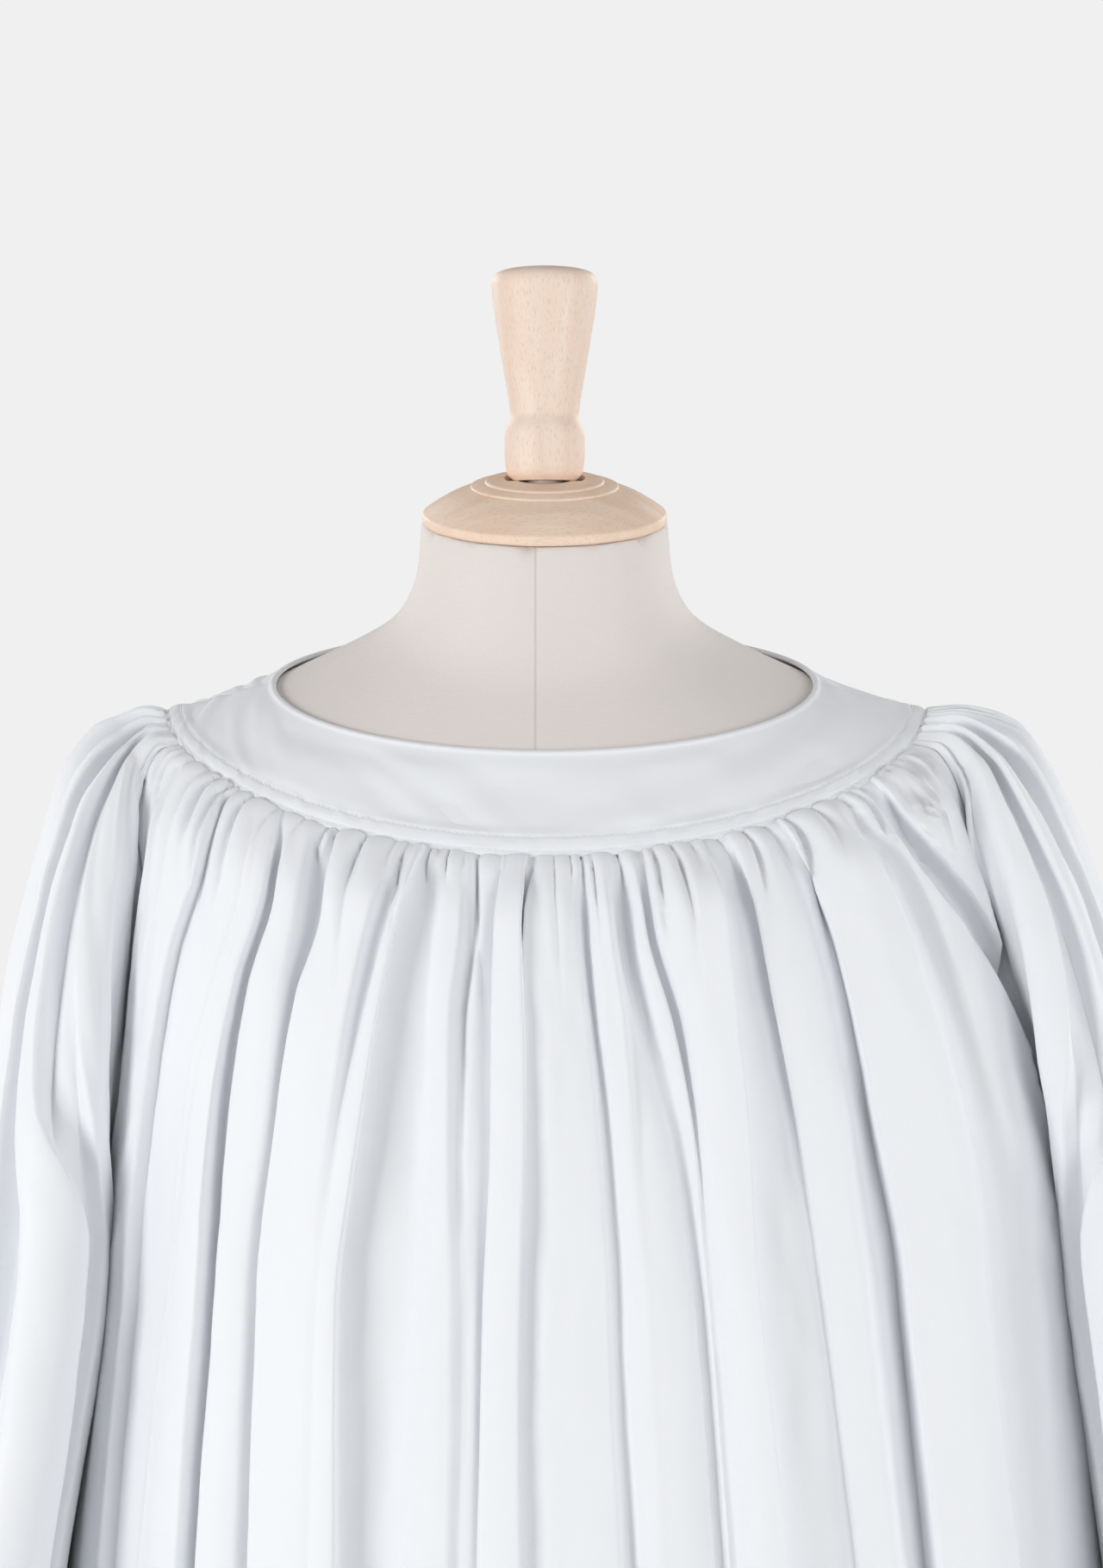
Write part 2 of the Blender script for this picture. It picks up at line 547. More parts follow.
def column_shares(folds, counts, places, width):
    """The shares of a row's columns: five follow each fold edge, and the others fill what lies between."""
    ends = np.append(places, 1.0)
    found, last = [], 0.0
    for k in range(1, len(places)):
        reach = folds["soft"][k] * 0.62 / (width * 1000)
        before = min(reach, 0.4 * (places[k] - ends[k - 1]))
        after = min(reach, 0.4 * (ends[k + 1] - places[k]))
        cluster = places[k] + np.array([-before, -before / 2, 0.0, after / 2, after])
        found += [np.linspace(last, cluster[0], counts[k - 1] + 1)[:-1], cluster[:-1]]
        last = cluster[-1]
    return np.concatenate(found + [np.linspace(last, 1.0, counts[-1] + 1)])


def cloth_row(panel, folds, seed, gathers, counts, drop, depth):
    """Points of one row of the finished cloth, and the same row's place in the weave."""
    above, row, below = (row_of(panel, drop + step) for step in (-2.0, 0.0, 2.0))
    width = length_of(row)
    places = fold_shares(panel, folds, drop, row)
    shares = column_shares(folds, counts, places, width)
    points = spread(row, shares)
    across = spread(row, np.minimum(shares + 0.004, 1)) - spread(row, np.maximum(shares - 0.004, 0))
    outward = np.cross(across, spread(below, shares) - spread(above, shares))
    if panel != "sleeve_right":
        outward = -outward
    outward /= np.linalg.norm(outward, axis=1)[:, None]
    across /= np.linalg.norm(across, axis=1)[:, None]
    # near a seam both of its panels move in one shared direction, so that they still meet there
    from_seam = np.minimum(shares, 1 - shares) * width
    shared = points * (1, 1, 0)
    shared /= np.linalg.norm(shared, axis=1)[:, None]
    shared[:, 2] = 0.8 * (1 - smooth(drop / 90))
    mix = smooth(from_seam / 0.010)[:, None]
    outward = outward * mix + shared * (1 - mix)
    outward /= np.linalg.norm(outward, axis=1)[:, None]
    down = max(drop, 0.0)
    height, lean = fold_heights(folds, places, shares, down, width)
    body = panel.startswith("body")
    gather = gather_heights(seed, gathers, shares, down, 1.0 if body else 1.9)
    tall = (0.0040 if body else 0.0046) * (0.75 + 0.5 * smooth(down / 14))
    height = height * depth[0] + gather * depth[1] * tall
    wide = shares * width * 1000
    for crease, number, slant, fine, long, full in CREASES:
        waves = ripple(seed + number, shares * 460 + slant * down, down, fine, long)
        height += crease * waves * smooth(down / full)
    height += 0.0016 * ripple(seed + 7, wide, down, 60, 160) * smooth(down / 120)
    sway = 0.0010 * ripple(seed + 8, shares * 300, down, 30, 70) * smooth(down / 30)
    low = smooth((down - 45) / 55)
    right_hand = -0.0060 + 0.0180 * smooth((down - 130) / 90)
    deep = np.where(points[:, 0] < 0, right_hand, -0.0075)
    seam_level = 0.0042 * smooth(down / 30) * (1 - low) + deep * low
    at_seam = smooth(from_seam / (0.005 + 0.006 * low + 0.008 * smooth((down - 130) / 90)))
    height = seam_level + (height - seam_level) * at_seam
    length = HEM_DROP if body else CUFF_DROP
    above_hem = length - drop
    height += 0.0005 * smooth((20.6 - above_hem) / 0.6)
    height -= 0.0006 * math.exp(-((21.5 - above_hem) / 0.9) ** 2)
    height -= 0.0009 * (1 - smooth((drop + 0.4) / 4.5)) + 0.0024 * (1 - smooth((drop + 2.2) / 2.2))
    moved = points + outward * height[:, None] + across * ((lean + sway) * at_seam)[:, None]
    return moved, np.stack([shares * 0.72, np.full_like(shares, -drop / 1000)], axis=1)


def row_drops(length, dense):
    """The drops of a panel's rows: close under the yoke, wider lower down, and close again at the hem."""
    near = np.concatenate([(-2.6, -1.6, -0.6), np.arange(0.4, 26, 2.1 / dense)])
    upper = np.arange(26.0, 110, 5.2 / dense)
    shown = np.arange(110.0, 340, 10.5 / dense)
    hidden = np.arange(340.0, length - 34, 32 / dense)
    hem = (length - 26.0, length - 22.4, length - 21.5, length - 20.6, length - 10.0, length)
    return np.concatenate([near, upper, shown, hidden, hem])


# Meshes, materials and small helpers

def deselect_all():
    """Leaves edit mode and selects nothing."""
    if bpy.context.object and bpy.context.object.mode != "OBJECT":
        bpy.ops.object.mode_set(mode="OBJECT")
    bpy.ops.object.select_all(action="DESELECT")


def make_active(piece):
    """Selects this piece alone."""
    deselect_all()
    piece.select_set(True)
    bpy.context.view_layer.objects.active = piece


def apply_all(piece):
    """Applies the piece's modifiers in order."""
    make_active(piece)
    for modifier in list(piece.modifiers):
        bpy.ops.object.modifier_apply(modifier=modifier.name)


def new_piece(name, points, faces, weave):
    """A smooth piece from its points and faces, with each point's place in the weave as its UV map."""
    mesh = bpy.data.meshes.new(name)
    mesh.from_pydata(points, [], faces)
    layer = mesh.uv_layers.new(name="Weave")
    corners = np.empty(len(mesh.loops), dtype=np.int32)
    mesh.loops.foreach_get("vertex_index", corners)
    layer.data.foreach_set("uv", weave[corners].ravel())
    piece = bpy.data.objects.new(name, mesh)
    bpy.context.scene.collection.objects.link(piece)
    mesh.shade_smooth()
    return piece


def mesh_from_rows(name, rows, closed_across, weave):
    """A piece from a grid of points, with its place in the weave as its UV map."""
    count, size = rows.shape[:2]
    run = size if closed_across else size - 1
    i, k = np.meshgrid(np.arange(run), np.arange(count - 1))
    a = k * size + i
    b = k * size + (i + 1) % size
    faces = np.stack([a, b, b + size, a + size], axis=-1).reshape(-1, 4)
    return new_piece(name, rows.reshape(-1, 3).tolist(), faces.tolist(), weave.reshape(-1, 2))


def face_away(piece, centre):
    """Merges doubles and turns an open sheet's faces away from a vertical line."""
    work = bmesh.new()
    work.from_mesh(piece.data)
    bmesh.ops.remove_doubles(work, verts=work.verts, dist=MERGE)
    bmesh.ops.recalc_face_normals(work, faces=work.faces)
    away = sum(
        f.calc_area() * f.normal.dot(Vector((f.calc_center_median() - centre)[:2] + (0.0,))) for f in work.faces
    )
    if away < 0:
        bmesh.ops.reverse_faces(work, faces=work.faces)
    work.to_mesh(piece.data)
    work.free()


def linear(colour):
    """An sRGB hex colour as a linear RGBA one."""
    parts = [int(colour[i:i + 2], 16) / 255 for i in (1, 3, 5)]
    return tuple(c / 12.92 if c <= 0.04045 else ((c + 0.055) / 1.055) ** 2.4 for c in parts) + (1.0,)


def to_hex(colour):
    """A colour property, which holds sRGB values here, as hex."""
    return "#" + "".join(f"{round(c * 255):02x}" for c in colour[:3])


def node(tree, kind, settings=None, **links):
    """Adds a node with its settings and links. A link is a socket or a plain value for an input."""
    made = tree.nodes.new(kind)
    for key, value in (settings or {}).items():
        setattr(made, key, value)
    for key, value in links.items():
        key = key.replace("_", " ")
        socket = made.inputs[int(key[2:])] if key.startswith("at") and key[2:].isdigit() else made.inputs[key]
        if isinstance(value, bpy.types.NodeSocket):
            tree.links.new(value, socket)
        else:
            socket.default_value = value
    return made


def ramp(tree, source, stops):
    """A colour ramp over these (place, colour) stops."""
    made = node(tree, "ShaderNodeValToRGB", Fac=source)
    elements = made.color_ramp.elements
    while len(elements) < len(stops):
        elements.new(0.5)
    for element, (place, colour) in zip(elements, stops):
        element.position = place
        element.color = colour if isinstance(colour, tuple) else (colour,) * 3 + (1.0,)
    return made.outputs["Color"]


def new_material(name):
    """An empty material with its Principled shader."""
    made = bpy.data.materials.new(name)
    made.use_nodes = True
    return made, made.node_tree, made.node_tree.nodes["Principled BSDF"]


def crossed_threads(tree, place, sizes, detail):
    """The height of a plain weave: one stretched noise for each way that its threads run."""
    noises = []
    for size in sizes:
        stretched = node(tree, "ShaderNodeMapping", Vector=place, Scale=tuple(1 / s for s in size))
        noises.append(node(tree, "ShaderNodeTexNoise", Vector=stretched.outputs[0], Scale=1.0, Detail=detail))
    first, second = (noise.outputs[0] for noise in noises)
    return node(tree, "ShaderNodeMath", {"operation": "ADD"}, at0=first, at1=second).outputs[0]


def relief(tree, shader, height, strength, distance):
    """Gives a material's surface a fine relief of this height."""
    bump = node(tree, "ShaderNodeBump", Strength=strength, Distance=distance, Height=height)
    tree.links.new(bump.outputs[0], shader.inputs["Normal"])


def darkened(tree, ground, by, share):
    """A colour multiplied by another one, by this share."""
    mixed = node(tree, "ShaderNodeMix", {"data_type": "RGBA", "blend_type": "MULTIPLY"}, Factor=share)
    tree.links.new(ground, mixed.inputs[6])
    tree.links.new(by, mixed.inputs[7])
    return mixed.outputs[2]


def woven_cotton(name, colour, settings):
    """White polyester and cotton sheeting: matte, slightly uneven threads, a soft sheen at its rims."""
    made, tree, shader = new_material(name)
    weave = node(tree, "ShaderNodeUVMap", {"uv_map": "Weave"}).outputs["UV"]
    # the real threads are 0.25 mm apart; they are drawn as slubs about 0.9 mm apart, which still show
    threads = crossed_threads(tree, weave, ((0.0009, 0.022, 1.0), (0.022, 0.0009, 1.0)), 1.5)
    base = linear(colour)
    dim = tuple(c * 0.93 for c in base[:3]) + (1.0,)
    tint = ramp(tree, threads, ((0.30, dim), (0.62, base)))
    tree.links.new(tint, shader.inputs["Base Color"])
    relief(tree, shader, threads, settings.weave_strength, 0.0003)
    shader.inputs["Roughness"].default_value = 0.82
    shader.inputs["Specular IOR Level"].default_value = 0.25
    shader.inputs["Sheen Weight"].default_value = 0.12
    shader.inputs["Sheen Roughness"].default_value = 0.5
    return made


def form_linen(name, colour):
    """Natural linen stretched over a padded torso: plain weave with slubs, matte, a seam down the front."""
    made, tree, shader = new_material(name)
    place = node(tree, "ShaderNodeTexCoord").outputs["Object"]
    threads = crossed_threads(tree, place, ((0.009, 0.009, 0.0008), (0.0008, 0.0008, 0.009)), 2.0)
    base = linear(colour)
    dim = tuple(c * 0.86 for c in base[:3]) + (1.0,)
    tint = ramp(tree, threads, ((0.32, dim), (0.66, base)))
    parts = node(tree, "ShaderNodeSeparateXYZ", Vector=place)
    off = node(tree, "ShaderNodeMath", {"operation": "ADD"}, at0=parts.outputs["X"], at1=0.0045)
    far = node(tree, "ShaderNodeMath", {"operation": "ABSOLUTE"}, at0=off.outputs[0])
    seam = node(tree, "ShaderNodeMapRange", Value=far.outputs[0])
    for key, value in (("From Min", 0.0002), ("From Max", 0.0009), ("To Min", 0.0), ("To Max", 1.0)):
        seam.inputs[key].default_value = value
    tree.links.new(darkened(tree, tint, seam.outputs[0], 0.16), shader.inputs["Base Color"])
    total = node(tree, "ShaderNodeMath", {"operation": "ADD"}, at0=threads, at1=seam.outputs[0])
    relief(tree, shader, total.outputs[0], 0.35, 0.0004)
    shader.inputs["Roughness"].default_value = 0.88
    shader.inputs["Specular IOR Level"].default_value = 0.2
    return made


def turned_beech(name, light, dark, grain):
    """Beech turned and sealed: a pale ground, soft bands, and short dark pore flecks along the grain."""
    made, tree, shader = new_material(name)
    place = node(tree, "ShaderNodeTexCoord").outputs["Object"]

    def stretched(fine, long):
        scale = [1 / fine] * 3
        scale[grain] = 1 / long
        return node(tree, "ShaderNodeMapping", Vector=place, Scale=tuple(scale)).outputs[0]
    bands = node(tree, "ShaderNodeTexNoise", Vector=stretched(0.011, 0.11), Scale=1.0, Detail=3.0,
                 Distortion=0.4)
    ground = ramp(tree, bands.outputs[0], ((0.30, linear(dark)), (0.68, linear(light))))
    # pores are 0.1 mm wide; they are drawn 0.5 mm wide, as the photo's size shows them
    flecks = node(tree, "ShaderNodeTexNoise", Vector=stretched(0.00055, 0.0048), Scale=1.0, Detail=1.0)
    pores = ramp(tree, flecks.outputs[0], ((0.33, 0.84), (0.42, 1.0)))
    tree.links.new(darkened(tree, ground, pores, 0.9), shader.inputs["Base Color"])
    relief(tree, shader, flecks.outputs[0], 0.12, 0.0003)
    shader.inputs["Roughness"].default_value = 0.52
    shader.inputs["Specular IOR Level"].default_value = 0.4
    return made


def black_enamel(name):
    """Stove enamel on steel tube: black, half gloss, with a faint orange-peel skin."""
    made, tree, shader = new_material(name)
    place = node(tree, "ShaderNodeTexCoord").outputs["Object"]
    skin = node(tree, "ShaderNodeTexNoise", Vector=place, Scale=900.0, Detail=1.0)
    wear = node(tree, "ShaderNodeTexNoise", Vector=place, Scale=60.0, Detail=3.0)
    tree.links.new(ramp(tree, wear.outputs[0], ((0.3, 0.32), (0.7, 0.46))), shader.inputs["Roughness"])
    relief(tree, shader, skin.outputs[0], 0.06, 0.0002)
    shader.inputs["Base Color"].default_value = linear("#1b1b1c")
    return made


def studio_paper(name, colour):
    """Matte pale paper that fades into the backdrop further out, so that no horizon shows."""
    made, tree, shader = new_material(name)
    shader.inputs["Base Color"].default_value = linear(colour)
    shader.inputs["Roughness"].default_value = 0.9
    place = node(tree, "ShaderNodeTexCoord").outputs["Object"]
    far = node(tree, "ShaderNodeVectorMath", {"operation": "LENGTH"}, Vector=place)
    fade = node(tree, "ShaderNodeMapRange", {"interpolation_type": "SMOOTHSTEP"}, Value=far.outputs["Value"],
                From_Min=FLOOR_FADE[0], From_Max=FLOOR_FADE[1])
    clear = node(tree, "ShaderNodeBsdfTransparent")
    mixed = node(tree, "ShaderNodeMixShader", Fac=fade.outputs[0], at1=shader.outputs[0], at2=clear.outputs[0])
    tree.links.new(mixed.outputs[0], tree.nodes["Material Output"].inputs["Surface"])
    return made


def finish_piece(piece, material, slot, *nodes):
    """Gives a piece its material, its slot, the body that it rides on and the CAD nodes it stands for."""
    piece.data.materials.clear()
    piece.data.materials.append(material)
    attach(piece, "root")
    if nodes:
        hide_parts(*nodes)
    return piece


def cloth_piece(name, panel, folds, seed, gathers, columns, dense, settings, material):
    """One gathered panel as a thin shell with turned hem, standing for its CAD node."""
    counts = columns_of(panel, folds, columns)
    length = HEM_DROP if panel.startswith("body") else CUFF_DROP
    depth = (settings.fold_depth, settings.gather_depth)
    rows, weave = zip(*(cloth_row(panel, folds, seed, gathers, counts, drop, depth)
                        for drop in row_drops(length, dense)))
    piece = mesh_from_rows(name, np.array(rows), False, np.array(weave))
    side = 0.0 if panel.startswith("body") else (0.23 if panel == "sleeve_left" else -0.23)
    face_away(piece, Vector((side, 0.0, 0.0)))
    shell = piece.modifiers.new("Cloth thickness", "SOLIDIFY")
    shell.thickness = settings.thickness
    shell.offset = -1.0
    apply_all(piece)
    return finish_piece(piece, material, "white_cotton", panel)


def smooth_runs(runs, finer=4):
    """A turned profile in metres from its runs, each made finer along a smooth curve."""
    found = []
    for run in runs:
        points = np.array(run, float)
        if len(points) > 2:
            along = shares_along(points)
            fine = np.linspace(0, 1, (len(points) - 1) * finer + 1)
            points = np.stack([curve_through(along, points[:, k], fine) for k in (0, 1)], axis=1)
        found.append(points if not found else points[1:])
    return np.concatenate(found) / 1000


def turned(name, runs, steps):
    """A piece turned on a lathe: a profile drawn point by point, then spun round Z."""
    profile = smooth_runs(runs)
    deselect_all()
    first = (profile[0][0], 0.0, profile[0][1])
    bpy.ops.mesh.primitive_plane_add(size=0.002, location=first)
    piece = bpy.context.object
    piece.name = piece.data.name = name
    bpy.ops.object.transform_apply(location=True, rotation=True, scale=True)
    bpy.ops.object.mode_set(mode="EDIT")
    bpy.ops.mesh.select_mode(type="VERT")
    bpy.ops.mesh.select_all(action="SELECT")
    bpy.ops.mesh.merge(type="CENTER")
    for a, b in zip(profile, profile[1:]):
        bpy.ops.mesh.extrude_region_move(
            TRANSFORM_OT_translate={"value": (float(b[0] - a[0]), 0.0, float(b[1] - a[1]))}
        )
    bpy.ops.mesh.select_all(action="SELECT")
    bpy.ops.mesh.spin(steps=steps, angle=math.tau, center=(0, 0, 0), axis=(0, 0, 1))
    bpy.ops.mesh.select_all(action="SELECT")
    bpy.ops.mesh.remove_doubles(threshold=0.00001)
    bpy.ops.mesh.select_all(action="SELECT")
    bpy.ops.mesh.normals_make_consistent(inside=False)
    bpy.ops.object.mode_set(mode="OBJECT")
    bpy.ops.object.shade_smooth_by_angle(angle=math.radians(32))
    return piece


def cut_round_hole(piece, radius, bottom):
    """Cuts an upright round hole into the piece, from this height up."""
    deselect_all()
    bpy.ops.mesh.primitive_cylinder_add(vertices=96, radius=radius, depth=0.06, location=(0, 0, bottom + 0.03))
    cutter = bpy.context.object
    cut = piece.modifiers.new("Hole", "BOOLEAN")
    cut.operation = "DIFFERENCE"
    cut.solver = "EXACT"
    cut.object = cutter
    apply_all(piece)
    bpy.data.objects.remove(cutter, do_unlink=True)


# Settings

class ClothSettings(bpy.types.PropertyGroup):
    """Sizes and colour of the surplice."""

    thickness: bpy.props.FloatProperty(
        name="Cloth thickness", description="Thickness of the shown cloth", default=0.0006, min=0.0002,
        max=0.002, unit="LENGTH",
    )
    fold_depth: bpy.props.FloatProperty(
        name="Fold depth", description="How deep the folds are, 1 as in the tables", default=1.25, min=0.0,
        max=2.0, subtype="FACTOR",
    )
    gather_depth: bpy.props.FloatProperty(
        name="Gather depth", description="How deep the small gathers are", default=1.0, min=0.0,
        max=2.0, subtype="FACTOR",
    )
    weave_strength: bpy.props.FloatProperty(
        name="Weave", description="Strength of the weave's relief", default=0.25, min=0.0, max=1.0,
        subtype="FACTOR",
    )
    colour: bpy.props.FloatVectorProperty(
        name="Cloth colour", description="sRGB colour of the cloth", default=(0.945, 0.951, 0.965), min=0.0,
        max=1.0, size=3, subtype="COLOR_GAMMA",
    )


class FormSettings(bpy.types.PropertyGroup):
    """Sizes and colours of the dress form and its stand."""

    linen: bpy.props.FloatVectorProperty(
        name="Linen colour", description="sRGB colour of the form's cover", default=(0.906, 0.878, 0.859),
        min=0.0, max=1.0, size=3, subtype="COLOR_GAMMA",
    )
    beech: bpy.props.FloatVectorProperty(
        name="Beech colour", description="sRGB colour of the pale wood", default=(0.965, 0.886, 0.824), min=0.0,
        max=1.0, size=3, subtype="COLOR_GAMMA",
    )
    steps: bpy.props.IntProperty(
        name="Lathe steps", description="Flats round a turned piece", default=96, min=24, max=192,
    )
    pole_radius: bpy.props.FloatProperty(
        name="Pole radius", description="Radius of the stand's pole", default=0.016, min=0.01, max=0.03,
        unit="LENGTH",
    )


class StageSettings(bpy.types.PropertyGroup):
    """Camera and light of the studio."""

    distance: bpy.props.FloatProperty(
        name="Camera distance", description="From the camera to the stand's axis", default=3.0, min=1.0,
        max=10.0, unit="LENGTH",
    )
    height: bpy.props.FloatProperty(
        name="Camera height", description="Height of the camera above the floor", default=1.390, min=0.2,
        max=3.0, unit="LENGTH",
    )
    lens: bpy.props.FloatProperty(
        name="Lens", description="Focal length in millimetres", default=134.9, min=20.0, max=300.0,
    )
    key: bpy.props.FloatProperty(
        name="Key light", description="Power of the main softbox in watts", default=44.5, min=0.0, max=500.0,
    )
    fill: bpy.props.FloatProperty(
        name="Fill light", description="Power of the second softbox in watts", default=28.5, min=0.0, max=500.0,
    )
    sides: bpy.props.FloatProperty(
        name="Side light", description="Power of the lit walls at the sides in watts", default=13.0, min=0.0,
        max=500.0,
    )
    room: bpy.props.FloatProperty(
        name="Room light", description="Strength of the light from all round", default=0.32, min=0.0, max=2.0,
    )
    backdrop: bpy.props.FloatVectorProperty(
        name="Backdrop colour", description="sRGB colour behind the object", default=(0.941, 0.941, 0.941),
        min=0.0, max=1.0, size=3, subtype="COLOR_GAMMA",
    )


class PieceOperator:
    """What every operator of this file shares."""

    bl_options = {"REGISTER", "UNDO"}

    @staticmethod
    def cotton(context):
        """The one white cotton of the whole garment."""
        settings = context.scene.surplice_cloth
        found = bpy.data.materials.get("woven_white_cotton")
        return found or woven_cotton("woven_white_cotton", to_hex(settings.colour), settings)


class SURPLICE_OT_body(PieceOperator, bpy.types.Operator):
    """Builds the gathered front and back of the surplice"""

    bl_idname = "surplice.body"
    bl_label = "Front and back"

    def execute(self, context):
        settings = context.scene.surplice_cloth
        cotton = self.cotton(context)
        front = cloth_piece("front_panel", "body_front", FRONT_FOLDS, 11, 46, 610, 1.0, settings, cotton)
        back_folds = folds_from_ridges("body_back", BACK_RIDGES, (2, 3, 0, 2, 0, 6, 0))
        back = cloth_piece("back_panel", "body_back", back_folds, 23, 44, 520, 0.85, settings, cotton)
        return {"FINISHED"}


class SURPLICE_OT_sleeves(PieceOperator, bpy.types.Operator):
    """Builds both wide open sleeves"""

    bl_idname = "surplice.sleeves"
    bl_label = "Sleeves"

    def execute(self, context):
        settings = context.scene.surplice_cloth
        cotton = self.cotton(context)
        for name, panel, seed in (("left_sleeve", "sleeve_left", 31), ("right_sleeve", "sleeve_right", 47)):
            deep = -9 if panel == "sleeve_left" else -3
            folds = folds_from_ridges(panel, SLEEVE_RIDGES, (2, 3, 1, deep, deep + 3, 4, 0))
            piece = cloth_piece(name, panel, folds, seed, 16, 400, 1.0, settings, cotton)
        return {"FINISHED"}


class SURPLICE_OT_yoke(PieceOperator, bpy.types.Operator):
    """Builds the two halves of the round yoke with their stitched band"""

    bl_idname = "surplice.yoke"
    bl_label = "Yoke"

    def execute(self, context):
        cotton = self.cotton(context)
        for name, panel, first in (("front_yoke", "yoke_front", -90.0), ("back_yoke", "yoke_back", 90.0)):
            piece, stitches = yoke_piece(name, first)
            finish_piece(piece, cotton, "white_cotton", panel)
            finish_piece(stitches, cotton, "white_cotton")
        return {"FINISHED"}


def yoke_surface(rings, degrees):
    """Points of the yoke's outer side, with its rolled neck, its wrinkles and the puckers of its stitching."""
    rows = []
    for ring in rings:
        lift = np.full_like(degrees, YOKE_TOP)
        along = np.radians(degrees) * (92 + (ring - 4) * 33)
        lift += 0.0009 * math.exp(-((ring - 4.045) / 0.045) ** 2)
        lift += 0.0003 * float(smooth((ring - 5.62) / 0.05))
        lift += 0.0003 * math.exp(-((ring - 5.79) / 0.085) ** 2)
        lift -= 0.0005 * math.exp(-((ring - 5.655) / 0.028) ** 2)
        lift -= 0.0004 * math.exp(-((ring - 5.915) / 0.022) ** 2)
        for line, reach in ((5.69, 0.10), (5.90, 0.07)):
            lift += 0.0006 * math.exp(-((ring - line) / reach) ** 2) * ripple(61, along, ring * 30, 4.2, 9)
        wrinkle = float(smooth((ring - 4.1) / 0.4)) * float(smooth((5.62 - ring) / 0.2))
        lift += 0.0017 * wrinkle * ripple(62, along * 0.8 + ring * 34, ring * 30 - along * 0.35, 30, 30)
        lift += 0.0007 * wrinkle * ripple(63, along - ring * 20, ring * 30, 14, 26)
        rows.append(form_points(ring, degrees, lift))
    return rows


def yoke_piece(name, first):
    """Half of the yoke as a closed thin shell, and its two rows of stitches as one piece."""
    degrees = np.linspace(first + 0.06, first + 179.94, 301)
    outer_rings = np.concatenate([
        np.linspace(4.0, 4.12, 9), np.linspace(4.16, 5.56, 28), np.linspace(5.58, 6.012, 27),
    ])
    outer = yoke_surface(outer_rings, degrees)
    neck = [form_points(3.985, degrees, np.full_like(degrees, lift)) for lift in (0.0012, 0.0020, 0.0028)]
    edge_wave = 0.00035 * ripple(64, np.radians(degrees) * 160, degrees * 0, 4.0, 10)
    edge = [form_points(6.030, degrees, 0.0023 + edge_wave), form_points(6.034, degrees, 0.0014 + edge_wave)]
    inner = [form_points(ring, degrees, np.full_like(degrees, YOKE_LIFT)) for ring in (6.0, 5.5, 5.0, 4.5, 4.0)]
    section = np.array(neck + outer + edge + inner)
    weave = np.stack([np.broadcast_to(np.radians(degrees) * 0.14, section.shape[:2]),
                      np.broadcast_to(np.linspace(0, 0.2, len(section))[:, None], section.shape[:2])], axis=-1)
    rows, weave = section.transpose(1, 0, 2), weave.transpose(1, 0, 2)
    piece = mesh_from_rows(name, rows, True, weave)
    make_active(piece)
    bpy.ops.object.mode_set(mode="EDIT")
    bpy.ops.mesh.select_mode(type="EDGE")
    bpy.ops.mesh.select_all(action="DESELECT")
    bpy.ops.mesh.select_non_manifold(extend=False, use_boundary=True, use_wire=False, use_multi_face=False,
                                     use_non_contiguous=False, use_verts=False)
    bpy.ops.mesh.edge_face_add()
    bpy.ops.mesh.select_all(action="SELECT")
    bpy.ops.mesh.normals_make_consistent(inside=False)
    bpy.ops.object.mode_set(mode="OBJECT")
    stitches = stitch_rows(name.replace("yoke", "yoke_stitches"), first, STITCH_RINGS)
    return piece, stitches


def stitch_rows(name, first, rings):
    """Rows of short topstitches, each a small bead half sunk into the cloth."""
    points, faces, weave = [], [], []
    for ring in rings:
        middle = form_points(ring, np.linspace(first, first + 180, 400), np.full(400, YOKE_TOP))
        count = int(length_of(middle) / STITCH_STEP)
        starts = first + (np.arange(count) + 0.12) * 180 / count
        for start in starts:
            span = STITCH_SHARE * 180 / count
            degrees = start + span * np.array([0.0, 0.18, 0.5, 0.82, 1.0])
            base = np.array(yoke_surface([ring - 0.012, ring, ring + 0.012], degrees))
            spine = base[1]
            side = base[2] - base[0]
            side /= np.linalg.norm(side, axis=1)[:, None]
            along = spine[-1] - spine[0]
            along /= np.linalg.norm(along)
            up = np.cross(along, side)
            up *= np.sign((up * (spine - (0, 0, DATUM_Z - 0.1))).sum(axis=1))[:, None]
            first_number = len(points)
            for k, thick in enumerate((0.45, 0.9, 1.0, 0.9, 0.45)):
                arch = (0.0, 0.16, 0.26, 0.16, 0.0)[k] / 1000
                for turn in np.radians((0, 60, 120, 180, 240, 300)):
                    off = side[k] * math.cos(turn) * STITCH_WIDE + up[k] * math.sin(turn) * STITCH_HIGH
                    points.append(spine[k] + up[k] * arch + off * thick)
                    weave.append((spine[k][0], spine[k][2]))
            for k in range(4):
                for i in range(6):
                    a, b = first_number + k * 6 + i, first_number + k * 6 + (i + 1) % 6
                    faces.append((a, b, b + 6, a + 6))
            faces.append(tuple(first_number + i for i in range(6)))
            faces.append(tuple(first_number + 24 + i for i in range(6)))
    piece = new_piece(name, [tuple(p) for p in points], faces, np.array(weave))
    work = bmesh.new()
    work.from_mesh(piece.data)
    bmesh.ops.recalc_face_normals(work, faces=work.faces)
    work.to_mesh(piece.data)
    work.free()
    return piece


